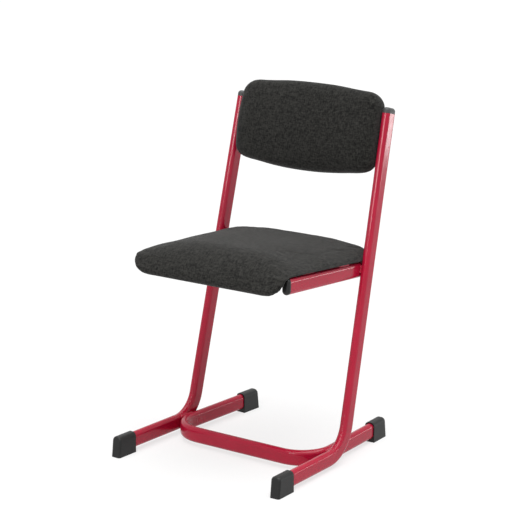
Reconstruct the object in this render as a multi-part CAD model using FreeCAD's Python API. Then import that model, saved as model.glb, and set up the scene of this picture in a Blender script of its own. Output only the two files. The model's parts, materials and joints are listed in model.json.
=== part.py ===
import FreeCAD, Part
import math
import os

# Teacher chair with a welded flat-oval tube frame, an upholstered seat and an upholstered backrest.
# Millimetres. +Z is up, the sitter faces -Y, and the origin is on the floor under the middle.

Vec = FreeCAD.Vector
AXIS_X = Vec(1, 0, 0)
AXIS_Y = Vec(0, 1, 0)
AXIS_Z = Vec(0, 0, 1)
ORIGIN = Vec(0, 0, 0)

# Flat-oval tube used for the whole frame
tube_height = 38.0
tube_width = 20.0
tube_wall = 2.0

# Foot caps: the floor under the tube, the walls round it, and the slanted outer end
foot_span = 504.0
cap_sole = 8.5
cap_length = 60.0
cap_wall = 2.8
cap_end = 8.0
cap_slant = 6.0
cap_round = 10.0
cap_end_round = 5.0
cap_clearance = 0.3

# Side frames: foot, bend and upright lie in one plane, which is toed out and tilted in a little
frame_half = 222.5
frame_toe = 1.45
frame_tilt = 0.66
frame_bend = 80.0
upright_lean = 14.5
upright_base_y = 32.0
upright_top_z = 793.0

# Base tube: a U whose bar is in front and whose ends are the rear feet
base_half = 202.4
base_toe = 3.05
base_bar_y = -73.0
base_bend = 76.0

# Seat arms, on the inner faces of the uprights, rising to the front
arm_joint_z = 440.0
arm_rise = 4.37
arm_front_y = -165.0
arm_tail = 21.0
rail_y = 95.0

# Domed caps and plugs at open tube ends
dome_height = 14.0
dome_round = 8.5
plug_dome = 9.0
plug_round = 7.0
plug_proud = 0.2
plug_insert = 24.0
plug_fins = 3
plug_fin_thickness = 1.6
plug_fin_gap = 0.2
plug_core_inset = 5.0

# Seat, in a plane that rests on the tops of the arms
seat_half = 211.5
seat_front = 210.0
seat_rear = 180.0
seat_crown = 38.5
seat_front_fall = 26.0
seat_rear_fall = 9.5
seat_side_power = 3.6
seat_edge = 8.0
seat_edge_lift = 2.5
seat_shoulder = 38.0
seat_front_round = 28.0
seat_rear_corner = (75.0, 118.0)
seat_rear_power = 2.3
seat_rear_bulge = 0.3
seat_lip = 43.5
seat_lip_round = 50.0
seat_lip_rise = 41.0
seat_lip_thickness = 16.0
seat_nose = 0.8
seat_heel = 0.6
seat_fall_length = 108.0
seat_fall_taper = 0.5
seat_board = 9.0
seat_board_margin = 14.0
seat_board_nose = 20.0
seat_board_drop = 3.0
seat_board_half = 186.0
seat_board_corner = 60.0
seat_board_front_corner = 90.0
seat_opening = (177.0, -118.0, 138.0)
seat_opening_corner = 45.0
seat_gap = 0.4

# Backrest, in the plane of the uprights
back_middle_z = 742.0
back_half = 197.0
back_top = 105.5
back_bottom = 106.0
back_top_fall = 13.0
back_bottom_fall = 19.0
back_corner = 32.0
back_low_corner = 24.0
back_front = 45.0
back_front_fall = 4.0
back_rear = 8.0
back_front_round = 20.0
back_rear_round = 12.0
back_rear_step = 0.22
back_front_step = 0.42
back_cheek = 0.16
back_ridge = 0.42
back_board = 9.0
back_board_margin = 14.0
back_board_corner = 18.0

cover = 1.5

# Tabs that carry the backrest, welded to the inner faces of the uprights
tab_thickness = 4.0
tab_width = 48.0
tab_low = -64.0
tab_high = 36.0
tab_corner = 12.0
tab_hole_x = 162.0
tab_hole_t = (-46.0, 18.0)

# Lugs that carry the seat, welded to the inner faces of the arms
lug_thickness = 4.0
lug_length = 40.0
lug_inner = 150.0
lug_corner = 10.0
lug_hole_x = 168.0
lug_hole_y = (-85.0, 58.0)

# Fasteners
screw_radius = 3.0
screw_hole = 3.4
screw_head_radius = 6.0
screw_head_height = 3.6
screw_head_round = 1.6
screw_socket = 2.0
screw_socket_depth = 2.2
nut_flange_radius = 9.0
nut_flange = 1.5
nut_barrel_radius = 3.9
nut_barrel = 7.5
nut_bore = 3.1

# Weld beads: fillets beside the uprights by turn round the tube's edge, and rods along the base tube
weld_turns = (18.0, 52.0)
weld_reach = 9.5
weld_crown = 0.7
weld_radius = 4.0
base_weld_depth = 5.0
base_weld_run = (-20.0, 16.0)

# Worked out from the dimensions above
axis_z = cap_sole + tube_height / 2
lean = math.radians(upright_lean)
rise = math.radians(arm_rise)
up = Vec(0, math.sin(lean), math.cos(lean))
arm_up = Vec(0, math.sin(rise), math.cos(rise))


def upright_y(z):
    return upright_base_y + (z - axis_z) * math.tan(lean)


def arm_point(y):
    return Vec(-tube_width, y, arm_joint_z + (upright_y(arm_joint_z) - y) * math.tan(rise))


# Helpers for tubes

def flat_oval(centre, along, tall, height, width):
    radius = width / 2
    reach = tall * (height / 2 - radius)
    side = along.cross(tall) * radius
    crest = tall * radius
    upper = centre + reach
    lower = centre - reach
    return Part.Wire([
        Part.LineSegment(lower + side, upper + side).toShape(),
        Part.Arc(upper + side, upper + crest, upper - side).toShape(),
        Part.LineSegment(upper - side, lower - side).toShape(),
        Part.Arc(lower - side, lower - crest, lower + side).toShape()])


def bent_path(points, radius):
    edges = []
    start = points[0]
    for before, corner, after in zip(points, points[1:], points[2:]):
        inward = (corner - before).normalize()
        outward = (after - corner).normalize()
        half_turn = inward.getAngle(outward) / 2
        first = corner - inward * (radius * math.tan(half_turn))
        last = corner + outward * (radius * math.tan(half_turn))
        bisector = (outward - inward).normalize()
        middle = corner + bisector * (radius / math.cos(half_turn) - radius)
        edges.append(Part.LineSegment(start, first).toShape())
        edges.append(Part.Arc(first, middle, last).toShape())
        start = last
    edges.append(Part.LineSegment(start, points[-1]).toShape())
    return Part.Wire(edges)


def swept_oval(points, radius, tall, inset):
    along = (points[1] - points[0]).normalize()
    section = flat_oval(points[0], along, tall, tube_height - 2 * inset, tube_width - 2 * inset)
    return bent_path(points, radius).makePipeShell([section], True, False)


def tube(points, radius, tall):
    return swept_oval(points, radius, tall, 0).cut(swept_oval(points, radius, tall, tube_wall))


def on_frame(shape):
    placed = shape.copy()
    placed.rotate(Vec(0, 0, axis_z), AXIS_Y, -frame_tilt)
    placed.rotate(ORIGIN, AXIS_Z, frame_toe)
    placed.translate(Vec(frame_half, 0, 0))
    return placed


def mirrored(shape):
    return shape.mirror(ORIGIN, AXIS_X)


def pair(name, shape):
    return {"left_" + name: mirrored(shape), "right_" + name: shape}


# Frame tubes

def side_frame_points():
    return [Vec(0, cap_end - foot_span / 2, axis_z), Vec(0, upright_base_y, axis_z),
            Vec(0, upright_y(upright_top_z), upright_top_z)]


def base_points():
    slope = math.tan(math.radians(base_toe))
    rear_y = foot_span / 2 - cap_end
    rear = Vec(base_half - slope * rear_y, rear_y, axis_z)
    corner = Vec(base_half - slope * base_bar_y, base_bar_y, axis_z)
    return [rear, corner, Vec(-corner.x, corner.y, corner.z), Vec(-rear.x, rear.y, rear.z)]


def arm_points():
    return [arm_point(arm_front_y), arm_point(upright_y(arm_joint_z) + arm_tail)]


def side_frame():
    return on_frame(tube(side_frame_points(), frame_bend, AXIS_Z))


def base_tube():
    return tube(base_points(), base_bend, AXIS_Z)


def seat_arm():
    return on_frame(tube(arm_points(), 0, arm_up))


def seat_cross_rail():
    # The ends are cut flush with the inner faces of the arms
    middle = arm_point(rail_y)
    ends = [Vec(frame_half, rail_y, middle.z), Vec(-frame_half, rail_y, middle.z)]
    corner = Vec(-1.5 * tube_width, 0, middle.z - frame_half / 2)
    trim = on_frame(Part.makeBox(frame_half, frame_half, frame_half, corner))
    return tube(ends, 0, AXIS_Z).cut(trim).cut(mirrored(trim))


# Weld beads lie in the grooves between two tubes

def bead(start, end):
    run = end - start
    rod = Part.makeCylinder(weld_radius, run.Length, start, run)
    return rod.fuse([Part.makeSphere(weld_radius, start), Part.makeSphere(weld_radius, end)])


def fillet_bead(centre, out, toward, run):
    # Fills the groove between a flat face and the rounded edge of a tube, with a crowned outer face
    radius = tube_width / 2

    def on_edge(turn):
        angle = math.radians(turn)
        return centre + (out * math.cos(angle) + toward * math.sin(angle)) * radius

    root_turn, toe_turn = weld_turns
    root = on_edge(root_turn)
    toe = on_edge(toe_turn)
    flat_root = centre + out * radius + toward * (radius * math.sin(math.radians(root_turn)))
    flat_toe = centre + out * radius + toward * weld_reach
    crest = (toe + flat_toe) * 0.5 + (toward - out * 0.5) * weld_crown
    section = Part.Wire([
        Part.Arc(root, on_edge((root_turn + toe_turn) / 2), toe).toShape(),
        Part.Arc(toe, crest, flat_toe).toShape(),
        Part.LineSegment(flat_toe, flat_root).toShape(),
        Part.LineSegment(flat_root, root).toShape()])
    return Part.Face(section).extrude(run)


def arm_weld_beads():
    run = up * (tube_height - tube_width)
    across = Vec(0, math.cos(lean), -math.sin(lean))
    start = Vec(0, upright_y(arm_joint_z), arm_joint_z) - run * 0.5
    edge = across * (tube_height / 2 - tube_width / 2)
    beads = [on_frame(fillet_bead(start + edge * side, -AXIS_X, across * side, run)) for side in (1, -1)]
    return Part.makeCompound(beads + [mirrored(one) for one in beads])


def base_weld_beads(frame_solid, base_solid):
    seam_x = base_half + tube_width / 2
    first, last = base_weld_run
    half_height = tube_height / 2 - base_weld_depth
    levels = (axis_z + half_height, axis_z - half_height)
    beads = [bead(Vec(seam_x, first, z), Vec(seam_x, last, z)) for z in levels]
    beads = [one.cut(frame_solid).cut(base_solid) for one in beads]
    return Part.makeCompound(beads + [mirrored(one) for one in beads])


# Plastic caps and plugs

def foot_cap():
    top = axis_z + tube_height / 2 + cap_wall
    half = tube_width / 2 + cap_wall
    corners = [Vec(-half, 0, 0), Vec(-half, -cap_length, 0),
               Vec(-half, cap_slant - cap_length, top), Vec(-half, 0, top)]
    body = Part.Face(Part.makePolygon(corners + corners[:1])).extrude(AXIS_X * (2 * half))
    long_edges = [edge for edge in body.Edges
                  if edge.CenterOfMass.z > top - 0.1 and abs(edge.CenterOfMass.x) > 1]
    body = body.makeFillet(cap_round, long_edges)
    end_face = min(body.Faces, key=lambda face: face.CenterOfMass.y)
    body = body.makeFillet(cap_end_round, [edge for edge in end_face.Edges if edge.CenterOfMass.z > 1])
    mouth = flat_oval(Vec(0, 0, axis_z), -AXIS_Y, AXIS_Z, tube_height + 2 * cap_clearance,
                      tube_width + 2 * cap_clearance)
    return body.cut(Part.Face(mouth).extrude(AXIS_Y * (cap_end - cap_length)))


def front_foot_cap():
    cap = foot_cap()
    cap.translate(Vec(0, cap_length - foot_span / 2, 0))
    cap.rotate(ORIGIN, AXIS_Z, frame_toe)
    cap.translate(Vec(frame_half, 0, 0))
    return cap


def rear_foot_cap():
    end = base_points()[0]
    cap = foot_cap()
    cap.translate(Vec(0, cap_length - cap_end, 0))
    cap.rotate(ORIGIN, AXIS_Z, 180 + base_toe)
    cap.translate(Vec(end.x, end.y, 0))
    return cap


def end_plug(dome, rounding, proud):
    rim = flat_oval(ORIGIN, AXIS_Z, AXIS_Y, tube_height + 2 * proud, tube_width + 2 * proud)
    head = Part.Face(rim).extrude(AXIS_Z * dome)
    head = head.makeFillet(rounding, [edge for edge in head.Edges if edge.CenterOfMass.z > dome - 0.1])
    bore_height = tube_height - 2 * tube_wall
    bore_width = tube_width - 2 * tube_wall
    core = flat_oval(ORIGIN, AXIS_Z, AXIS_Y, bore_height - plug_core_inset, bore_width - plug_core_inset)
    solids = [Part.Face(core).extrude(AXIS_Z * -plug_insert)]
    fin_step = plug_insert / plug_fins
    for number in range(plug_fins):
        level = Vec(0, 0, -fin_step * (number + 0.5))
        fin = flat_oval(level, AXIS_Z, AXIS_Y, bore_height - plug_fin_gap, bore_width - plug_fin_gap)
        solids.append(Part.Face(fin).extrude(AXIS_Z * -plug_fin_thickness))
    return head.fuse(solids).removeSplitter()


def placed_plug(plug, point, turn):
    plug.rotate(ORIGIN, AXIS_X, turn)
    plug.translate(point)
    return on_frame(plug)


def upright_cap():
    return placed_plug(end_plug(dome_height, dome_round, 0), side_frame_points()[-1], -upright_lean)


def arm_front_plug():
    return placed_plug(end_plug(plug_dome, plug_round, plug_proud), arm_points()[0], 90 - arm_rise)


def arm_rear_plug():
    return placed_plug(end_plug(plug_dome / 2, plug_round / 2, 0), arm_points()[1], -90 - arm_rise)


# Upholstery: lofts through cross-sections, each a closed run of arcs and lines

def line(a, b):
    return Part.LineSegment(a, b).toShape()


def arc(a, through, b):
    return Part.Arc(a, through, b).toShape()


def quarter(level, upright):
    # Middle of a quarter-ellipse that runs level at one end and upright at the other
    share = math.sqrt(0.5)
    return Vec(level.x, level.y + (upright.y - level.y) * share, upright.z + (level.z - upright.z) * share)


def round_in(distance, radius):
    # How far a rounded corner has drawn in at a distance past the start of its rounding
    past = min(max(distance, 0), radius)
    return radius - math.sqrt(radius * radius - past * past)


def loft_across(half, shoulder, section):
    # Stations thin out over the flat middle and follow the rounded shoulder by even turns
    flat = half - shoulder
    out = [0.5 * flat, 0.85 * flat]
    out += [flat + shoulder * math.sin(math.radians(turn)) for turn in (15, 40, 65, 90)]
    wires = [section(x) for x in [-x for x in reversed(out)] + [0] + out]
    return Part.makeLoft(wires, True, False)


def seat_rear_edge(out, half):
    # The rear corners pass inside the uprights: long ellipses, a little squared
    across, deep = seat_rear_corner
    share = max(out - (half - across), 0) / across
    return seat_rear - deep * (1 - max(1 - share ** seat_rear_power, 0) ** (1 / seat_rear_power))


def seat_section(inset):
    half = seat_half - inset

    def section(x):
        out = abs(x)
        to_edge = round_in(out - (half - seat_shoulder), seat_shoulder) / seat_shoulder
        bottom = inset + seat_edge_lift * to_edge ** 2

        def level(fall):
            # Height of the top face, which falls to the sides and rounds over at the shoulder
            high = seat_crown - inset - fall * (out / half) ** seat_side_power
            return high + (seat_edge - high) * to_edge

        front_top = level(seat_front_fall)
        rear_top = level(seat_rear_fall)
        front = inset - seat_front + round_in(out - (half - seat_front_round), seat_front_round)
        rear = seat_rear_edge(out, half) - inset
        lifted = round_in(out - (half - seat_lip_round), seat_lip_round) / seat_lip_round
        lip = inset - seat_lip + seat_lip_rise * lifted
        bulge = seat_rear_bulge * (rear_top - bottom)
        tuck = front + seat_lip_thickness - 2 * inset
        rear_low = Vec(x, rear - bulge, bottom)
        rear_high = Vec(x, rear - bulge, rear_top - bulge / 4)
        brow = Vec(x, front + seat_fall_length * (1 - seat_fall_taper * to_edge), front_top)
        tip = Vec(x, front, seat_nose * lip)
        under = Vec(x, tuck, lip)
        heel = Vec(x, tuck + seat_heel * (bottom - lip), bottom)
        return Part.Wire([
            arc(rear_low, Vec(x, rear, (rear_top + bottom) / 2), rear_high),
            arc(rear_high, Vec(x, (rear_high.y + brow.y) / 2, (rear_top + front_top) / 2 + 1), brow),
            arc(brow, quarter(brow, tip), tip),
            arc(tip, quarter(under, tip), under),
            arc(under, quarter(heel, under), heel),
            line(heel, rear_low)])

    return section


def seat_form(inset):
    return loft_across(seat_half - inset, seat_shoulder, seat_section(inset))


def seat_board_solid():
    front = seat_board_nose - seat_front
    rear = seat_rear - seat_board_margin
    low = cover
    high = cover + seat_board
    drop = -seat_board_drop
    bend = seat_lip_thickness + seat_heel * seat_lip - seat_front
    rear_low = Vec(0, rear, low)
    rear_high = Vec(0, rear, high)
    bend_low = Vec(0, bend, low)
    bend_high = Vec(0, bend, high)
    nose = Vec(0, front, drop)
    nose_back = Vec(0, front + seat_board, drop)
    profile = Part.Wire([
        line(rear_low, rear_high),
        line(rear_high, bend_high),
        arc(bend_high, quarter(bend_high, nose), nose),
        line(nose, nose_back),
        arc(nose_back, quarter(bend_low, nose_back), bend_low),
        line(bend_low, rear_low)])
    half = seat_board_half
    board = Part.Face(profile).extrude(AXIS_X * (2 * half))
    board.translate(AXIS_X * -half)
    plan = Part.makeBox(2 * half, rear - front, high - drop, Vec(-half, front, drop))
    for place, radius in ((rear, seat_board_corner), (front, seat_board_front_corner)):
        corners = [edge for edge in plan.Edges
                   if edge.BoundBox.ZLength > seat_board and abs(edge.CenterOfMass.y - place) < 0.1]
        plan = plan.makeFillet(radius, corners)
    return board.common(plan)


def seat_cover_opening():
    # The fabric is folded under and leaves the middle of the shell bare
    half, first, last = seat_opening
    block = Part.makeBox(2 * half, last - first, 3 * cover, Vec(-half, first, -cover))
    corners = [edge for edge in block.Edges if edge.BoundBox.ZLength > cover]
    return block.makeFillet(seat_opening_corner, corners)


def on_seat(shape):
    rest = arm_point(0) + arm_up * (tube_height / 2 + seat_gap)
    placed = shape.copy()
    placed.rotate(ORIGIN, AXIS_X, -arm_rise)
    placed.translate(Vec(0, rest.y, rest.z))
    return placed


def seat_screw_spots():
    return [Vec(side * lug_hole_x, y, 0) for side in (-1, 1) for y in lug_hole_y]


def seat_lugs(arm_solid):
    lugs = []
    for y in lug_hole_y:
        start = Vec(lug_inner, y - lug_length / 2, -seat_gap - lug_thickness)
        plate = Part.makeBox(frame_half - tube_width - lug_inner, lug_length, lug_thickness, start)
        corners = [edge for edge in plate.Edges
                   if abs(edge.CenterOfMass.x - lug_inner) < 0.1 and edge.BoundBox.ZLength > 1]
        plate = plate.makeFillet(lug_corner, corners)
        plate = plate.cut(Part.makeCylinder(screw_hole, lug_thickness, Vec(lug_hole_x, y, start.z)))
        pieces = on_seat(plate).cut(arm_solid).Solids
        lugs.append(min(pieces, key=lambda piece: piece.CenterOfMass.x))
    return Part.makeCompound(lugs)


def back_section(inset):
    half = back_half - inset

    def section(x):
        out = abs(x)
        share = out / half
        corner = round_in(out - (half - back_corner), back_corner)
        low_corner = round_in(out - (half - back_low_corner), back_low_corner)
        top = back_top - inset - back_top_fall * share ** 2 - corner
        bottom = inset - back_bottom + back_bottom_fall * share ** 2 + low_corner
        rear = back_rear - inset - round_in(out - (half - back_rear_round), back_rear_round)
        front = inset - back_front + back_front_fall * share ** 2
        front = front + round_in(out - (half - back_front_round), back_front_round)
        thickness = rear - front
        rear_step = back_rear_step * thickness
        front_step = back_front_step * thickness
        cheek = front + back_cheek * thickness
        rear_high = Vec(x, rear, top - rear_step)
        rear_low = Vec(x, rear, bottom + rear_step)
        front_high = Vec(x, cheek, top - front_step)
        front_low = Vec(x, cheek, bottom + front_step)
        ridge = rear - back_ridge * thickness
        return Part.Wire([
            line(rear_low, rear_high),
            arc(rear_high, Vec(x, ridge, top), front_high),
            arc(front_high, Vec(x, front, (top + bottom) / 2), front_low),
            arc(front_low, Vec(x, ridge, bottom), rear_low)])

    return section


def back_form(inset):
    return loft_across(back_half - inset, back_corner, back_section(inset))


def back_board_solid():
    half = back_half - back_board_margin
    top = back_top - back_board_margin
    bottom = back_board_margin - back_bottom
    face_y = back_rear - cover
    high = top - back_top_fall
    low = bottom + back_bottom_fall
    outline = Part.Wire([
        arc(Vec(-half, face_y, high), Vec(0, face_y, top), Vec(half, face_y, high)),
        line(Vec(half, face_y, high), Vec(half, face_y, low)),
        arc(Vec(half, face_y, low), Vec(0, face_y, bottom), Vec(-half, face_y, low)),
        line(Vec(-half, face_y, low), Vec(-half, face_y, high))])
    board = Part.Face(outline).extrude(AXIS_Y * -back_board)
    corners = [edge for edge in board.Edges
               if abs(edge.CenterOfMass.y - (face_y - back_board / 2)) < 0.1
               and abs(abs(edge.CenterOfMass.x) - half) < 0.1]
    return board.makeFillet(back_board_corner, corners)


def on_back(shape):
    placed = shape.copy()
    placed.rotate(ORIGIN, AXIS_X, -upright_lean)
    placed.translate(Vec(0, upright_y(back_middle_z), back_middle_z))
    return placed


def back_screw_spots():
    return [Vec(side * tab_hole_x, 0, t) for side in (-1, 1) for t in tab_hole_t]


def backrest_tab(frame_solid):
    inner = tab_hole_x - tab_width / 3
    start = Vec(inner, back_rear, tab_low)
    plate = Part.makeBox(tab_width + tube_width, tab_thickness, tab_high - tab_low, start)
    corners = [edge for edge in plate.Edges if abs(edge.CenterOfMass.x - inner) < 0.1
               and abs(edge.CenterOfMass.y - back_rear - tab_thickness / 2) < 0.1]
    plate = plate.makeFillet(tab_corner, corners)
    for spot in back_screw_spots():
        plate = plate.cut(Part.makeCylinder(screw_hole, 3 * tab_thickness, spot, AXIS_Y))
    pieces = on_back(plate).cut(frame_solid).Solids
    return min(pieces, key=lambda piece: piece.CenterOfMass.x)


# Fasteners, made along +Z from the face under the head

def screw(length):
    head = Part.makeCylinder(screw_head_radius, screw_head_height, Vec(0, 0, -screw_head_height))
    rim = [edge for edge in head.Edges if edge.CenterOfMass.z < 0.1 - screw_head_height]
    head = head.makeFillet(screw_head_round, rim)
    turns = [math.radians(60 * number) for number in range(7)]
    key = [Vec(math.cos(turn), math.sin(turn), 0) * screw_socket for turn in turns]
    socket = Part.Face(Part.makePolygon(key)).extrude(AXIS_Z * screw_socket_depth)
    socket.translate(AXIS_Z * -screw_head_height)
    return head.cut(socket).fuse(Part.makeCylinder(screw_radius, length)).removeSplitter()


def t_nut():
    flange = Part.makeCylinder(nut_flange_radius, nut_flange, Vec(0, 0, nut_barrel))
    barrel = Part.makeCylinder(nut_barrel_radius, nut_barrel)
    bore = Part.makeCylinder(nut_bore, nut_barrel + 2 * nut_flange)
    return flange.fuse(barrel).cut(bore).removeSplitter()


def rods(spots, radius, start, end, along):
    ends = [spot + along * start for spot in spots]
    return Part.makeCompound([Part.makeCylinder(radius, end - start, low, along) for low in ends])


def group(shape, spots):
    copies = []
    for spot in spots:
        copy = shape.copy()
        copy.translate(spot)
        copies.append(copy)
    return Part.makeCompound(copies)


def turned(shape, turn):
    shape.rotate(ORIGIN, AXIS_X, turn)
    return shape


# The whole chair, node by node

def frame_nodes():
    frame_solid = on_frame(swept_oval(side_frame_points(), frame_bend, AXIS_Z, 0))
    arm_solid = on_frame(swept_oval(arm_points(), 0, arm_up, 0))
    base_solid = swept_oval(base_points(), base_bend, AXIS_Z, 0)
    nodes = pair("side_frame", side_frame())
    nodes["base_tube"] = base_tube()
    nodes.update(pair("seat_arm", seat_arm()))
    nodes.update(pair("seat_lugs", seat_lugs(arm_solid)))
    nodes["seat_cross_rail"] = seat_cross_rail()
    nodes.update(pair("backrest_tab", backrest_tab(frame_solid)))
    nodes["arm_weld_beads"] = arm_weld_beads()
    nodes["base_weld_beads"] = base_weld_beads(frame_solid, base_solid)
    return nodes


def cap_nodes():
    nodes = pair("front_foot_cap", front_foot_cap())
    nodes.update(pair("rear_foot_cap", rear_foot_cap()))
    nodes.update(pair("upright_cap", upright_cap()))
    nodes.update(pair("arm_front_plug", arm_front_plug()))
    nodes.update(pair("arm_rear_plug", arm_rear_plug()))
    return nodes


def seat_nodes():
    spots = seat_screw_spots()
    shell_top = cover + seat_board
    nut_spots = [spot + AXIS_Z * (shell_top - nut_barrel) for spot in spots]
    nut_space = rods(spots, nut_flange_radius, shell_top, shell_top + nut_flange, AXIS_Z)
    shank_space = rods(spots, screw_hole, cover, shell_top + nut_flange, AXIS_Z)
    barrels = rods(spots, nut_barrel_radius, shell_top - nut_barrel, shell_top, AXIS_Z)
    board = seat_board_solid()
    under_board = group(board, [AXIS_Z * -cover])
    inner = seat_form(cover)
    head_level = -seat_gap - lug_thickness
    screw_spots = [spot + AXIS_Z * head_level for spot in spots]
    return {
        "seat_shell": on_seat(board.cut(barrels).cut(shank_space)),
        "seat_foam": on_seat(inner.cut(board).cut(under_board).cut(nut_space)),
        "seat_cover": on_seat(seat_form(0).cut(inner).cut(seat_cover_opening())),
        "seat_t_nuts": on_seat(group(t_nut(), nut_spots)),
        "seat_screws": on_seat(group(screw(shell_top - head_level), screw_spots))}


def backrest_nodes():
    spots = back_screw_spots()
    board_rear = back_rear - cover
    board_front = board_rear - back_board
    nut_spots = [spot + AXIS_Y * (board_front + nut_barrel) for spot in spots]
    nut = turned(t_nut(), 90)
    nut_space = rods(spots, nut_flange_radius, board_front - nut_flange, board_front, AXIS_Y)
    shank_space = rods(spots, screw_hole, board_front - nut_flange, back_rear + cover, AXIS_Y)
    barrels = rods(spots, nut_barrel_radius, board_front, board_front + nut_barrel, AXIS_Y)
    board = back_board_solid()
    behind_board = group(board, [AXIS_Y * cover])
    inner = back_form(cover)
    screw_spots = [spot + AXIS_Y * (back_rear + tab_thickness) for spot in spots]
    screw_length = back_rear + tab_thickness - board_front
    return {
        "backrest_board": on_back(board.cut(barrels).cut(shank_space)),
        "backrest_foam": on_back(inner.cut(board).cut(behind_board).cut(nut_space)),
        "backrest_cover": on_back(back_form(0).cut(inner).cut(shank_space)),
        "backrest_t_nuts": on_back(group(nut, nut_spots)),
        "backrest_screws": on_back(group(turned(screw(screw_length), 90), screw_spots))}


nodes = frame_nodes()
nodes.update(cap_nodes())
nodes.update(seat_nodes())
nodes.update(backrest_nodes())

os.makedirs("parts", exist_ok=True)
for name, shape in nodes.items():
    shape.exportStep("parts/" + name + ".step")
    box = shape.BoundBox
    print(name, len(shape.Solids), "solids", shape.isValid(), round(shape.Volume / 1000, 1), "cm3",
          [round(value, 1) for value in (box.XMin, box.XMax, box.YMin, box.YMax, box.ZMin, box.ZMax)])
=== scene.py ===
import json
import math
import bpy
from mathutils import Matrix, Vector


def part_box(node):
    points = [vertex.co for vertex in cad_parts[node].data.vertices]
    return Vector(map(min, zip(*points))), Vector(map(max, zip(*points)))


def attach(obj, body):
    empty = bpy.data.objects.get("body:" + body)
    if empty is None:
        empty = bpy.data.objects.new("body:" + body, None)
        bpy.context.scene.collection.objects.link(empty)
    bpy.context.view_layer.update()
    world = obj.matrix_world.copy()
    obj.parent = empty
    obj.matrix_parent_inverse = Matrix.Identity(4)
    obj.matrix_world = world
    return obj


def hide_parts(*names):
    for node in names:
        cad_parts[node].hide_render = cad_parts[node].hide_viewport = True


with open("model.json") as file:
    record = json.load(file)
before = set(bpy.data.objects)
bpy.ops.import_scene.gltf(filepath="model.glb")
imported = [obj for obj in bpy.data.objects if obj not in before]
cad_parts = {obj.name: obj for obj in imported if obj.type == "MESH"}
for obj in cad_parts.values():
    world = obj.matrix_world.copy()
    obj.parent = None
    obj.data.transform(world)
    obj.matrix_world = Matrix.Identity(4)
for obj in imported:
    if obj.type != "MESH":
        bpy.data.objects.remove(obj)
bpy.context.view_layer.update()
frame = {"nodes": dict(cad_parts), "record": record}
nodes = frame["nodes"]
print("frame loaded:", len(nodes), "nodes")


# small helpers

def deselectAll():
    if bpy.context.object and bpy.context.object.mode != "OBJECT":
        bpy.ops.object.mode_set(mode="OBJECT")
    bpy.ops.object.select_all(action="DESELECT")


def pick(piece):
    deselectAll()
    piece.select_set(True)
    bpy.context.view_layer.objects.active = piece


def applyModifier(piece, kind, **settings):
    pick(piece)
    modifier = piece.modifiers.new(kind.lower(), kind)
    for key, value in settings.items():
        setattr(modifier, key, value)
    bpy.ops.object.modifier_apply(modifier=modifier.name)


def selectParts(piece, kind, wanted):  # edit mode with only the wanted edges or faces selected
    pick(piece)
    bpy.ops.object.mode_set(mode="EDIT")
    bpy.ops.mesh.select_mode(type=kind)
    bpy.ops.mesh.select_all(action="DESELECT")
    bpy.ops.object.mode_set(mode="OBJECT")
    for part in (piece.data.edges if kind == "EDGE" else piece.data.polygons):
        part.select = wanted(part)
    bpy.ops.object.mode_set(mode="EDIT")


def copyOfNodes(name, nodeNames):  # one mesh from copies of CAD nodes, merged
    copies = []
    for nodeName in nodeNames:
        copy = bpy.data.objects.new(name, nodes[nodeName].data.copy())
        bpy.context.scene.collection.objects.link(copy)
        copies.append(copy)
    deselectAll()
    for copy in copies:
        copy.select_set(True)
    bpy.context.view_layer.objects.active = copies[0]
    bpy.ops.object.join()
    piece = bpy.context.object
    piece.name = name
    piece.data.materials.clear()
    bpy.ops.object.mode_set(mode="EDIT")
    bpy.ops.mesh.select_all(action="SELECT")
    bpy.ops.mesh.remove_doubles(threshold=0.00002)
    bpy.ops.object.mode_set(mode="OBJECT")
    return piece


# shader helpers

def addNode(tree, kind, values=None, **settings):
    node = tree.nodes.new(kind)
    for key, value in settings.items():
        setattr(node, key, value)
    for socket, value in (values or {}).items():
        node.inputs[socket].default_value = value
    return node


def plug(tree, source, target):
    if isinstance(source, bpy.types.NodeSocket):
        tree.links.new(source, target)
    else:
        target.default_value = source


def calc(tree, operation, first, second=0.0):
    node = addNode(tree, "ShaderNodeMath", operation=operation)
    plug(tree, first, node.inputs[0])
    plug(tree, second, node.inputs[1])
    return node.outputs[0]


def noise(tree, vector, scale, detail=3.0, roughness=0.5):
    node = addNode(tree, "ShaderNodeTexNoise", {"Scale": scale, "Detail": detail, "Roughness": roughness})
    plug(tree, vector, node.inputs["Vector"])
    return node.outputs["Fac"]


def spread(tree, value, low, high, toLow=0.0, toHigh=1.0):
    node = addNode(tree, "ShaderNodeMapRange", {1: low, 2: high, 3: toLow, 4: toHigh})
    plug(tree, value, node.inputs[0])
    return node.outputs[0]


def tint(tree, share, first, second):
    node = addNode(tree, "ShaderNodeMix", data_type="RGBA")
    plug(tree, share, node.inputs[0])
    plug(tree, first, node.inputs[6])
    plug(tree, second, node.inputs[7])
    return node.outputs[2]


def objectPoint(tree):
    return addNode(tree, "ShaderNodeTexCoord").outputs["Object"]


def bumpFrom(tree, height, strength, distance):
    node = addNode(tree, "ShaderNodeBump", {"Strength": strength, "Distance": distance})
    plug(tree, height, node.inputs["Height"])
    return node.outputs["Normal"]


def newFinish(name, **sockets):
    finish = bpy.data.materials.new(name)
    finish.use_nodes = True
    shader = finish.node_tree.nodes["Principled BSDF"]
    for key, value in sockets.items():
        shader.inputs[key.replace("_", " ")].default_value = value
    return finish, finish.node_tree, shader


def newGroup(name, inputs, outputs):
    group = bpy.data.node_groups.new(name, "ShaderNodeTree")
    for socketName, kind in inputs:
        group.interface.new_socket(socketName, in_out="INPUT", socket_type="NodeSocket" + kind)
    for socketName, kind in outputs:
        group.interface.new_socket(socketName, in_out="OUTPUT", socket_type="NodeSocket" + kind)
    return group, group.nodes.new("NodeGroupInput"), group.nodes.new("NodeGroupOutput")


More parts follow.
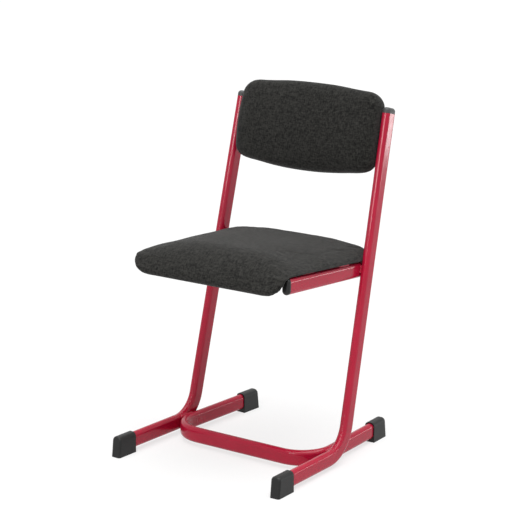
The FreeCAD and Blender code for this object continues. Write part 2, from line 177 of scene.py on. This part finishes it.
def useGroup(tree, group, **inputs):
    node = addNode(tree, "ShaderNodeGroup", node_tree=group)
    for key, value in inputs.items():
        plug(tree, value, node.inputs[key])
    return node


# plain weave of heathered yarn: height of the yarn on top, and light and dark slubs along both yarns

heather = {
    "pitch": 0.0016,
    "slubWidth": 0.0025,
    "slubLength": 0.012,
    "dark": (0.0025, 0.0024, 0.0021, 1.0),
    "light": (0.039, 0.0381, 0.0343, 1.0),
    "mottleScale": 220.0,
    "patchScale": 150.0,
    "napRise": 1.5,  # against the height of one yarn
    "toneShare": 0.5,
    "mottleShare": 0.37,
    "patchShare": 0.13,
    "relief": 0.0004,
    "mottleStretch": (1.0, 0.5, 1.0),  # streaks run with the warp, front to back
}


def makeWeaveGroup():
    group, given, result = newGroup(
        "yarnWeave", [("Across", "Float"), ("Along", "Float"), ("Pitch", "Float")],
        [("Height", "Float"), ("Tone", "Float")])
    across = calc(group, "DIVIDE", given.outputs["Across"], given.outputs["Pitch"])
    along = calc(group, "DIVIDE", given.outputs["Along"], given.outputs["Pitch"])

    def yarnRise(own, other, lift):
        ridge = calc(group, "ABSOLUTE", calc(group, "SINE", calc(group, "MULTIPLY", own, math.pi)))
        step = calc(group, "ADD", calc(group, "SUBTRACT", other, 0.5), calc(group, "FLOOR", own))
        wave = calc(group, "COSINE", calc(group, "MULTIPLY", step, math.pi))
        return calc(group, "MULTIPLY", ridge, calc(group, "ADD", calc(group, "MULTIPLY", wave, lift), 0.5))

    def slubs(own, other, layer):
        point = addNode(group, "ShaderNodeCombineXYZ", {2: layer})
        plug(group, calc(group, "DIVIDE", own, heather["slubWidth"]), point.inputs[0])
        plug(group, calc(group, "DIVIDE", other, heather["slubLength"]), point.inputs[1])
        return spread(group, noise(group, point.outputs[0], 1.0, 1.0, 0.5), 0.38, 0.62)

    warp = yarnRise(across, along, 0.5)
    weft = yarnRise(along, across, -0.5)
    warpSlubs = slubs(given.outputs["Across"], given.outputs["Along"], 3.1)
    weftSlubs = slubs(given.outputs["Along"], given.outputs["Across"], 8.7)
    plug(group, calc(group, "MAXIMUM", warp, weft), result.inputs["Height"])
    bothSlubs = calc(group, "ADD", warpSlubs, weftSlubs)
    plug(group, calc(group, "MULTIPLY", bothSlubs, 0.5), result.inputs["Tone"])
    return group


weaveGroup = makeWeaveGroup()


def makeHeather():  # charcoal wool-like cloth, laid on from three sides
    finish, tree, shader = newFinish(
        "charcoalHeather", Roughness=0.92, Sheen_Weight=0.15, Sheen_Roughness=0.5, Specular_IOR_Level=0.1)
    point = objectPoint(tree)
    axes = addNode(tree, "ShaderNodeSeparateXYZ")
    plug(tree, point, axes.inputs[0])
    x, y, z = axes.outputs
    normal = addNode(tree, "ShaderNodeSeparateXYZ")
    plug(tree, addNode(tree, "ShaderNodeNewGeometry").outputs["Normal"], normal.inputs[0])
    sides = []
    for facing, across, along in ((0, y, z), (1, x, z), (2, x, y)):
        weight = calc(tree, "POWER", calc(tree, "ABSOLUTE", normal.outputs[facing]), 6.0)
        laid = useGroup(tree, weaveGroup, Across=across, Along=along, Pitch=heather["pitch"])
        sides.append((weight, laid))
    total = calc(tree, "ADD", calc(tree, "ADD", sides[0][0], sides[1][0]), sides[2][0])

    def blended(name):
        parts = [calc(tree, "MULTIPLY", weight, laid.outputs[name]) for weight, laid in sides]
        firstTwo = calc(tree, "ADD", parts[0], parts[1])
        return calc(tree, "DIVIDE", calc(tree, "ADD", firstTwo, parts[2]), total)

    height = blended("Height")
    tone = spread(tree, blended("Tone"), 0.2, 0.8)
    streaks = addNode(tree, "ShaderNodeMapping", {"Scale": heather["mottleStretch"]})
    plug(tree, point, streaks.inputs["Vector"])
    mottle = spread(tree, noise(tree, streaks.outputs[0], heather["mottleScale"], 1.0, 0.5), 0.38, 0.62)
    patches = spread(tree, noise(tree, streaks.outputs[0], heather["patchScale"], 1.0, 0.5), 0.4, 0.6)
    small = calc(tree, "MULTIPLY", mottle, heather["mottleShare"])
    large = calc(tree, "MULTIPLY", patches, heather["patchShare"])
    flecks = calc(tree, "ADD", small, large)
    share = calc(tree, "ADD", calc(tree, "MULTIPLY", tone, heather["toneShare"]), flecks)
    # painted shade: the cloth's colour darkens where the yarn lies low, in the hollows between the yarns
    shareWithPaintedShade = calc(tree, "MULTIPLY", share, spread(tree, height, 0.2, 0.9, 0.75, 1.0))
    plug(tree, tint(tree, shareWithPaintedShade, heather["dark"], heather["light"]), shader.inputs["Base Color"])
    nap = calc(tree, "ADD", height, calc(tree, "MULTIPLY", flecks, heather["napRise"]))
    plug(tree, bumpFrom(tree, nap, 0.5, heather["relief"]), shader.inputs["Normal"])
    return finish


tube = {"width": 0.020, "bendRadius": 0.076}
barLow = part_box("base_tube")[0]
sideBend = {"y": -0.0299, "z": 0.1075, "inner": 0.061}  # bend axis of a side frame and its hollow side
baseBend = {"x": 0.1264, "y": barLow[1] + tube["width"] / 2 + tube["bendRadius"], "inner": 0.066}

powderCoat = {
    "red": (0.47, 0.009, 0.040, 1.0),
    "deepRed": (0.425, 0.007, 0.034, 1.0),
    "cloudScale": 9.0,
    "gloss": (0.10, 0.16),  # roughness, smoothest and dullest
    "glossScale": 60.0,
    "peelScale": 420.0,
    "peelHeight": 0.12,
    "relief": 0.00035,
    "wrinkleStep": 0.0075,
    "wrinkleReach": 0.016,
    "crumpleScale": 70.0,
    "crumplePhase": 9.0,
    "crumpleRange": (0.35, 0.6),
    "rippleScale": 260.0,  # weld beads
}


def makeBendGroup():  # small creases pressed into the hollow side of a tube bend
    group, given, result = newGroup(
        "bendCreases", [("Across", "Float"), ("Along", "Float"), ("Inner", "Float"), ("Crumple", "Float")],
        [("Height", "Float")])
    across, along = given.outputs["Across"], given.outputs["Along"]
    acrossSquared = calc(group, "MULTIPLY", across, across)
    alongSquared = calc(group, "MULTIPLY", along, along)
    radius = calc(group, "SQRT", calc(group, "ADD", acrossSquared, alongSquared))
    past = calc(group, "SUBTRACT", radius, given.outputs["Inner"])
    near = spread(group, past, 0.0, powderCoat["wrinkleReach"], 1.0, 0.0)
    turn = calc(group, "MULTIPLY", calc(group, "ARCTAN2", along, across), given.outputs["Inner"])
    phase = calc(group, "MULTIPLY", turn, 2 * math.pi / powderCoat["wrinkleStep"])
    uneven = calc(group, "MULTIPLY", given.outputs["Crumple"], powderCoat["crumplePhase"])
    wave = calc(group, "SINE", calc(group, "ADD", phase, uneven))
    strength = spread(group, given.outputs["Crumple"], *powderCoat["crumpleRange"])
    patchy = calc(group, "MULTIPLY", wave, strength)
    plug(group, calc(group, "MULTIPLY", patchy, near), result.inputs["Height"])
    return group


bendGroup = makeBendGroup()


def makePowderCoat(name, bend=None, ripple=0.0):  # glossy baked paint with a faint orange peel
    finish, tree, shader = newFinish(name, Specular_IOR_Level=0.28)
    point = objectPoint(tree)
    cloud = spread(tree, noise(tree, point, powderCoat["cloudScale"], 2.0), 0.35, 0.65)
    plug(tree, tint(tree, cloud, powderCoat["red"], powderCoat["deepRed"]), shader.inputs["Base Color"])
    gloss = noise(tree, point, powderCoat["glossScale"], 3.0)
    plug(tree, spread(tree, gloss, 0.3, 0.7, *powderCoat["gloss"]), shader.inputs["Roughness"])
    peel = noise(tree, point, powderCoat["peelScale"], 2.0)
    height = calc(tree, "MULTIPLY", peel, powderCoat["peelHeight"])
    if bend:
        axes = addNode(tree, "ShaderNodeSeparateXYZ")
        plug(tree, point, axes.inputs[0])
        crumple = noise(tree, point, powderCoat["crumpleScale"], 3.0, 0.6)
        if "z" in bend:  # side frame: bent about a level axis
            across = calc(tree, "SUBTRACT", axes.outputs[1], bend["y"])
            along = calc(tree, "SUBTRACT", axes.outputs[2], bend["z"])
        else:  # base: bent about an upright axis on each side
            across = calc(tree, "SUBTRACT", calc(tree, "ABSOLUTE", axes.outputs[0]), bend["x"])
            along = calc(tree, "SUBTRACT", axes.outputs[1], bend["y"])
        creases = useGroup(
            tree, bendGroup, Across=across, Along=along, Inner=bend["inner"], Crumple=crumple)
        height = calc(tree, "ADD", height, creases.outputs["Height"])
    if ripple:
        ripples = noise(tree, point, powderCoat["rippleScale"], 3.0, 0.6)
        height = calc(tree, "ADD", height, calc(tree, "MULTIPLY", ripples, ripple))
    plug(tree, bumpFrom(tree, height, 1.0, powderCoat["relief"]), shader.inputs["Normal"])
    return finish


moulding = {"cloudScale": 25.0, "grainScale": 1500.0, "roughnessSpread": 0.06, "relief": 0.0002}


def makeMoulded(name, colour, roughness):  # moulded plastic with a fine spark grain
    finish, tree, shader = newFinish(name, Specular_IOR_Level=0.34)
    point = objectPoint(tree)
    cloud = spread(tree, noise(tree, point, moulding["cloudScale"], 3.0), 0.3, 0.7, 0.85, 1.15)
    tinted = addNode(tree, "ShaderNodeVectorMath", {0: colour[:3]}, operation="SCALE")
    plug(tree, cloud, tinted.inputs["Scale"])
    plug(tree, tinted.outputs[0], shader.inputs["Base Color"])
    grain = noise(tree, point, moulding["grainScale"], 2.0, 0.6)
    low, high = roughness - moulding["roughnessSpread"], roughness + moulding["roughnessSpread"]
    plug(tree, spread(tree, grain, 0.3, 0.7, low, high), shader.inputs["Roughness"])
    plug(tree, bumpFrom(tree, grain, 0.25, moulding["relief"]), shader.inputs["Normal"])
    return finish


plywood = {
    "pale": (0.55, 0.36, 0.19, 1.0),
    "brown": (0.36, 0.21, 0.10, 1.0),
    "grain": (6.0, 90.0, 90.0),
    "relief": 0.0003,
}


def makePlywood():  # bare beech veneer with its grain across the seat
    finish, tree, shader = newFinish("beechPly", Roughness=0.6)
    stretch = addNode(tree, "ShaderNodeMapping", {"Scale": plywood["grain"]})
    plug(tree, objectPoint(tree), stretch.inputs["Vector"])
    grain = noise(tree, stretch.outputs[0], 1.0, 5.0, 0.65)
    share = spread(tree, grain, 0.35, 0.68)
    plug(tree, tint(tree, share, plywood["pale"], plywood["brown"]), shader.inputs["Base Color"])
    plug(tree, bumpFrom(tree, grain, 0.2, plywood["relief"]), shader.inputs["Normal"])
    return finish


zinc = {"bright": (0.55, 0.56, 0.55, 1.0), "dull": (0.42, 0.42, 0.40, 1.0), "cloudScale": 300.0}


def makeZinc():
    finish, tree, shader = newFinish("zincPlate", Metallic=1.0)
    point = objectPoint(tree)
    cloud = spread(tree, noise(tree, point, zinc["cloudScale"], 3.0), 0.3, 0.7)
    plug(tree, tint(tree, cloud, zinc["bright"], zinc["dull"]), shader.inputs["Base Color"])
    plug(tree, spread(tree, cloud, 0.0, 1.0, 0.3, 0.5), shader.inputs["Roughness"])
    return finish


finishes = {
    "frame_paint": makePowderCoat("rubyPowderCoat"),
    "foot_plastic": makeMoulded("darkGreyCaps", (0.0058, 0.006, 0.006, 1), 0.5),
    "dome_plastic": makeMoulded("greyDomes", (0.058, 0.058, 0.058, 1), 0.45),
    "plug_plastic": makeMoulded("blackPlugs", (0.008, 0.008, 0.008, 1), 0.35),
    "cover_fabric": makeHeather(),
    "plywood": makePlywood(),
    "zinc_steel": makeZinc(),
}
finishes["foam"] = finishes["cover_fabric"]  # never seen, the cushions stand for it

special = {
    "left_side_frame": makePowderCoat("rubyPowderCoatFrame", sideBend),
    "base_tube": makePowderCoat("rubyPowderCoatBase", baseBend),
    "arm_weld_beads": makePowderCoat("rubyPowderCoatWeld", ripple=3.0),
}
special["right_side_frame"] = special["left_side_frame"]
special["base_weld_beads"] = special["arm_weld_beads"]

for entry in frame["record"]["subparts"]:
    slots = nodes[entry["node"]].data.materials
    slots.clear()
    slots.append(special.get(entry["node"], finishes[entry["material_slot"]]))
print("finishes on the CAD nodes")


# cushions: the CAD forms swelled as cloth over foam

padding = {"voxel": 0.0045, "grip": 0.002, "shrink": 0.0006, "frames": 20, "cap": 0.0014}
clothSetup = {
    "quality": 5,
    "mass": 0.3,
    "tension_stiffness": 15,
    "compression_stiffness": 15,
    "bending_stiffness": 0.5,
    "use_pressure": True,
    "uniform_pressure_force": 4.0,
    "vertex_group_mass": "held",
}


def swell(piece, held):
    pick(piece)
    group = piece.vertex_groups.new(name="held")
    group.add([v.index for v in piece.data.vertices if held(v.co)], 1.0, "REPLACE")
    start = [(v.co.copy(), v.normal.copy()) for v in piece.data.vertices]
    cloth = piece.modifiers.new("cloth", "CLOTH")
    for key, value in clothSetup.items():
        setattr(cloth.settings, key, value)
    cloth.settings.effector_weights.gravity = 0
    scene = bpy.context.scene
    for step in range(1, padding["frames"] + 1):
        scene.frame_set(step)
    bpy.ops.object.modifier_apply(modifier=cloth.name)
    scene.frame_set(1)
    moved = 0.0
    for vertex, (before, outward) in zip(piece.data.vertices, start):
        rise = (vertex.co - before).dot(outward)
        moved = max(moved, rise)
        vertex.co = before + outward * min(max(rise, 0.0), padding["cap"])  # the foam lets nothing sink in
    print(piece.name, "swelled by up to", round(moved * 1000, 1), "mm")


def relax(piece, weightAt, rounds):  # smooths only where the weight says
    group = piece.vertex_groups.new(name="relaxed")
    for vertex in piece.data.vertices:
        group.add([vertex.index], weightAt(vertex.co), "REPLACE")
    applyModifier(piece, "SMOOTH", factor=0.5, iterations=rounds, vertex_group="relaxed")


def makeCushion(name, pad, held, reshape=None):  # skin of a CAD pad, remeshed and swelled
    skin = copyOfNodes(name + "Skin", pad["nodes"])
    piece = copyOfNodes(name, pad["nodes"])
    applyModifier(piece, "REMESH", mode="VOXEL", voxel_size=padding["voxel"])
    applyModifier(piece, "SMOOTH", factor=0.5, iterations=6)  # voxel steps out
    applyModifier(piece, "DISPLACE", strength=padding["grip"], mid_level=0.0)  # clear of the lining
    applyModifier(piece, "SHRINKWRAP", target=skin, wrap_method="NEAREST_SURFACEPOINT")
    bpy.data.objects.remove(skin)
    if reshape:
        reshape(piece)
    applyModifier(piece, "DISPLACE", strength=-padding["shrink"], mid_level=0.0)
    swell(piece, held)
    applyModifier(piece, "SMOOTH", factor=0.5, iterations=2)
    applyModifier(piece, "SUBSURF", levels=1, render_levels=1)
    pick(piece)
    bpy.ops.object.shade_smooth()
    piece.data.materials.append(finishes["cover_fabric"])
    return piece


seatPad = {
    "nodes": ("seat_cover", "seat_foam", "seat_shell"),
    "tilt": math.radians(4.37),
    "rest": Vector((0.0, 0.0015, 0.4699)),
    "heldUnder": 0.004,
    "heldBehind": -0.14,
}
seatTurn = Matrix.Rotation(-seatPad["tilt"], 4, "X")
seatPlace = Matrix.Translation(seatPad["rest"]) @ seatTurn  # seat plane to chair
seatBack = seatPlace.inverted()

seatForm = {
    "half": 0.2115,
    "rear": 0.180,  # plan of the pad
    "cornerAcross": 0.075,
    "cornerAlong": 0.118,
    "cornerPower": 2.3,
    "fullPower": 3.4,
    "crown": 0.038,
    "shoulderDrop": 0.006,
    "shoulder": (0.06, 0.20),  # pairs are where an effect begins and where it is full
    "rearLift": 0.001,
    "rearRise": (0.05, 0.17),
    "heelPull": 0.008,
    "heelFront": (-0.205, -0.175),
    "heelRear": (-0.125, -0.145),
    "heelTop": (0.004, 0.0),
    "heelSides": (0.12, 0.18),
    "browTop": (0.005, 0.015),
    "browRear": (-0.01, -0.06),
    "browFront": (-0.185, -0.155),
    "browRounds": 140,
}


def ease(value, span):
    share = min(max((value - span[0]) / (span[1] - span[0]), 0.0), 1.0)
    return share * share * (3 - 2 * share)


def superOval(across, along, power):
    return (across ** power + along ** power) ** (1 / power)


def browWeight(point):  # top of the pad behind the waterfall edge
    local = seatBack @ point
    along = ease(local.y, seatForm["browRear"]) * ease(local.y, seatForm["browFront"])
    return along * ease(local.z, seatForm["browTop"])


def reshapeSeat(piece):  # fuller rear corners, softer shoulders, lip drawn in behind
    form = seatForm
    for vertex in piece.data.vertices:
        x, y, z = seatBack @ vertex.co
        side = math.copysign(1.0, x)
        reach = min(max(z / form["crown"], 0.0), 1.2)
        across = (abs(x) - form["half"] + form["cornerAcross"]) / form["cornerAcross"]
        along = (y - form["rear"] + form["cornerAlong"]) / form["cornerAlong"]
        newZ = z - form["shoulderDrop"] * ease(abs(x), form["shoulder"]) * reach
        newZ += form["rearLift"] * ease(y, form["rearRise"]) * reach
        newX, newY = x, y
        if across > 0 and along > 0:
            plain = superOval(across, along, form["cornerPower"])
            grow = plain / superOval(across, along, form["fullPower"])
            newX = side * (form["half"] - form["cornerAcross"] * (1 - across * grow))
            newY = form["rear"] - form["cornerAlong"] * (1 - along * grow)
        behind = ease(y, form["heelFront"]) * ease(y, form["heelRear"]) * ease(z, form["heelTop"])
        newY -= form["heelPull"] * behind * ease(abs(x), form["heelSides"])
        vertex.co = seatPlace @ Vector((newX, newY, newZ))
    relax(piece, browWeight, form["browRounds"])


def seatHeld(point):  # the flat underside stays on the shell
    local = seatBack @ point
    return local.z < seatPad["heldUnder"] and local.y > seatPad["heldBehind"]


backPad = {
    "nodes": ("backrest_cover", "backrest_foam", "backrest_board"),
    "lean": math.radians(14.5),
    "middle": Vector((0.0, 0.2168, 0.742)),
    "heldBehind": 0.004,
}
backPlace = Matrix.Translation(backPad["middle"]) @ Matrix.Rotation(-backPad["lean"], 4, "X")
backBack = backPlace.inverted()


def backHeld(point):  # the rear lies flat on its board
    local = backBack @ point
    return local.y > backPad["heldBehind"]


seatCushion = makeCushion("seatCushion", seatPad, seatHeld, reshapeSeat)
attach(seatCushion, "root")
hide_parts("seat_cover", "seat_foam")

hem = {
    "half": 0.177,
    "front": -0.118,
    "rear": 0.138,
    "corner": 0.045,
    "depth": 0.005,
    "staple": 0.010,
    "stapleStep": 0.027,
    "stapleOut": 0.009,
    "stapleSink": 0.0001,
    "stapleSkew": math.radians(9),
    "cornerTurns": (25, 65),
    "wire": 0.0011,
    "wireFlat": 0.6,
    "wireRound": 0.25,
}


def inSeatPlane(piece):  # from seat coordinates to the chair
    pick(piece)
    piece.matrix_world = seatPlace
    bpy.ops.object.transform_apply(location=True, rotation=True, scale=True)


def cutHemOpening(cushion):  # the fabric is folded under and leaves the shell bare
    deselectAll()
    bpy.ops.mesh.primitive_cube_add(size=1.0, location=(0, (hem["front"] + hem["rear"]) / 2, 0))
    block = bpy.context.object
    block.scale = (2 * hem["half"], hem["rear"] - hem["front"], 2 * hem["depth"])
    bpy.ops.object.transform_apply(location=True, rotation=True, scale=True)

    def standing(edge):
        first, second = (block.data.vertices[i].co for i in edge.vertices)
        return abs(first.z - second.z) > hem["depth"]

    selectParts(block, "EDGE", standing)
    bpy.ops.mesh.bevel(offset=hem["corner"], segments=10, affect="EDGES")
    bpy.ops.object.mode_set(mode="OBJECT")
    inSeatPlane(block)
    applyModifier(cushion, "BOOLEAN", object=block, operation="DIFFERENCE", solver="EXACT")
    bpy.data.objects.remove(block)


def hemLine(out):  # points and directions round the opening, a step apart
    halfX = hem["half"] + out
    front, rear = hem["front"] - out, hem["rear"] + out
    corner = hem["corner"] + out
    spots = []
    for sign in (-1, 1):
        across = int(2 * (halfX - corner) / hem["stapleStep"])
        for k in range(across + 1):
            x = (halfX - corner) * (2 * k / across - 1)
            spots.append((x, front if sign < 0 else rear, 0.0))
        along = int((rear - front - 2 * corner) / hem["stapleStep"])
        for k in range(along + 1):
            y = front + corner + (rear - front - 2 * corner) * k / along
            spots.append((sign * halfX, y, math.pi / 2))
        for endY, towards in ((front + corner, -1), (rear - corner, 1)):
            for turn in hem["cornerTurns"]:
                angle = math.radians(turn)
                x = sign * (halfX - corner + corner * math.sin(angle))
                spots.append((x, endY + towards * corner * math.cos(angle), -sign * towards * angle))
    return spots


def makeStaples():  # wire staples that hold the hem to the shell
    deselectAll()
    bpy.ops.mesh.primitive_cube_add(size=1.0)
    staple = bpy.context.object
    staple.name = "hemStaples"
    staple.scale = (hem["staple"], hem["wire"], hem["wire"] * hem["wireFlat"])
    bpy.ops.object.transform_apply(location=True, rotation=True, scale=True)
    selectParts(staple, "EDGE", lambda edge: True)
    bpy.ops.mesh.bevel(offset=hem["wire"] * hem["wireRound"], segments=2, affect="EDGES")
    bpy.ops.object.mode_set(mode="OBJECT")
    pieces = []
    for number, (x, y, turn) in enumerate(hemLine(hem["stapleOut"])):
        copy = bpy.data.objects.new("hemStaples", staple.data.copy())
        bpy.context.scene.collection.objects.link(copy)
        skew = hem["stapleSkew"] * math.sin(number * 2.4)  # hand-shot, never quite square
        spot = Matrix.Translation((x, y, -hem["stapleSink"]))
        copy.matrix_world = spot @ Matrix.Rotation(turn + skew, 4, "Z")
        pieces.append(copy)
    bpy.data.objects.remove(staple)
    deselectAll()
    for piece in pieces:
        piece.select_set(True)
    bpy.context.view_layer.objects.active = pieces[0]
    bpy.ops.object.transform_apply(location=True, rotation=True, scale=True)
    bpy.ops.object.join()
    staples = bpy.context.object
    staples.name = "hemStaples"
    inSeatPlane(staples)
    staples.data.materials.append(finishes["zinc_steel"])
    return staples


cutHemOpening(seatCushion)
hemStaples = makeStaples()
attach(hemStaples, "root")

backCushion = makeCushion("backCushion", backPad, backHeld)
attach(backCushion, "root")
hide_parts("backrest_cover", "backrest_foam")
print("cushions made")


# stage: pale floor, soft light, camera

stageSetup = {
    "floorSize": 40.0,
    "floorColour": (0.93, 0.93, 0.93, 1.0),
    "floorBounce": (0.75, 0.75, 0.75, 1.0),  # what the floor throws back up
    "floorGlow": 0.72,  # share of the floor that stays white in the picture
    "worldLight": 0.06,
    "sunLight": 3.9,
    "sunSpread": 1.2,
    "sunTurn": (math.radians(2), math.radians(8), 0.0),
    "azimuth": math.radians(36.0247),
    "elevation": math.radians(14.0383),
    "distance": 4.5924,
    "target": Vector((0.0074, 0.0, 0.4612)),
    "lens": 137.114,
}


def seenRays(tree):  # camera, mirror and glass rays see the white studio
    path = addNode(tree, "ShaderNodeLightPath")
    seen = calc(tree, "MAXIMUM", path.outputs["Is Camera Ray"], path.outputs["Is Glossy Ray"])
    return calc(tree, "MAXIMUM", seen, path.outputs["Is Transmission Ray"])


def makeFloor():
    deselectAll()
    bpy.ops.mesh.primitive_plane_add(size=stageSetup["floorSize"], location=(0, 0, 0))
    floor = bpy.context.object
    floor.name = "floor"
    finish = bpy.data.materials.new("paleFloor")
    finish.use_nodes = True
    tree = finish.node_tree
    tree.nodes.clear()
    output = addNode(tree, "ShaderNodeOutputMaterial")
    seen = seenRays(tree)
    matt = addNode(tree, "ShaderNodeBsdfDiffuse")
    floorTone = tint(tree, seen, stageSetup["floorBounce"], stageSetup["floorColour"])
    plug(tree, floorTone, matt.inputs["Color"])
    glow = addNode(tree, "ShaderNodeEmission", {"Color": (1, 1, 1, 1), "Strength": 1.0})
    mixed = addNode(tree, "ShaderNodeMixShader")
    plug(tree, calc(tree, "MULTIPLY", seen, stageSetup["floorGlow"]), mixed.inputs[0])
    plug(tree, matt.outputs[0], mixed.inputs[1])
    plug(tree, glow.outputs[0], mixed.inputs[2])
    plug(tree, mixed.outputs[0], output.inputs["Surface"])
    floor.data.materials.append(finish)


def makeWorld():
    world = bpy.data.worlds.new("studio")
    bpy.context.scene.world = world
    world.use_nodes = True
    tree = world.node_tree
    sky = tree.nodes["Background"]
    sky.inputs["Color"].default_value = (1, 1, 1, 1)
    strength = spread(tree, seenRays(tree), 0.0, 1.0, stageSetup["worldLight"], 1.0)
    plug(tree, strength, sky.inputs["Strength"])


frontPanel = {"place": (0.35, -3.8, 1.85), "aim": (0.1, 0.15, 0.65), "size": (2.0, 0.55), "power": 45.0}
rightPanel = {"place": (2.45, 3.4, 0.12), "aim": (0.2, 0.2, 0.7), "size": (1.8, 0.24), "power": 13.0}


def softBox(name, place, aim, size, power):  # seen as the bright bands on the uprights
    lamp = bpy.data.lights.new(name, "AREA")
    lamp.shape = "RECTANGLE"
    lamp.size, lamp.size_y = size
    lamp.energy = power
    box = bpy.data.objects.new(name, lamp)
    bpy.context.scene.collection.objects.link(box)
    box.location = place
    box.rotation_euler = (Vector(aim) - Vector(place)).to_track_quat("-Z", "Y").to_euler()


def overhead():  # one wide soft light from above, a little from the right
    lamp = bpy.data.lights.new("overhead", "SUN")
    lamp.energy = stageSetup["sunLight"]
    lamp.angle = stageSetup["sunSpread"]
    sun = bpy.data.objects.new("overhead", lamp)
    bpy.context.scene.collection.objects.link(sun)
    sun.rotation_euler = stageSetup["sunTurn"]


def makeCamera():
    data = bpy.data.cameras.new("camera")
    data.sensor_width = 36.0
    data.lens = stageSetup["lens"]
    camera = bpy.data.objects.new("camera", data)
    bpy.context.scene.collection.objects.link(camera)
    azimuth, elevation = stageSetup["azimuth"], stageSetup["elevation"]
    back = Vector((math.sin(azimuth) * math.cos(elevation), -math.cos(azimuth) * math.cos(elevation),
                   math.sin(elevation)))
    camera.location = stageSetup["target"] + back * stageSetup["distance"]
    camera.rotation_euler = (-back).to_track_quat("-Z", "Y").to_euler()
    bpy.context.scene.camera = camera


makeFloor()
makeWorld()
overhead()
softBox("frontPanel", **frontPanel)
softBox("rightPanel", **rightPanel)
makeCamera()
bpy.context.scene.view_settings.view_transform = "Standard"
print("stage set")
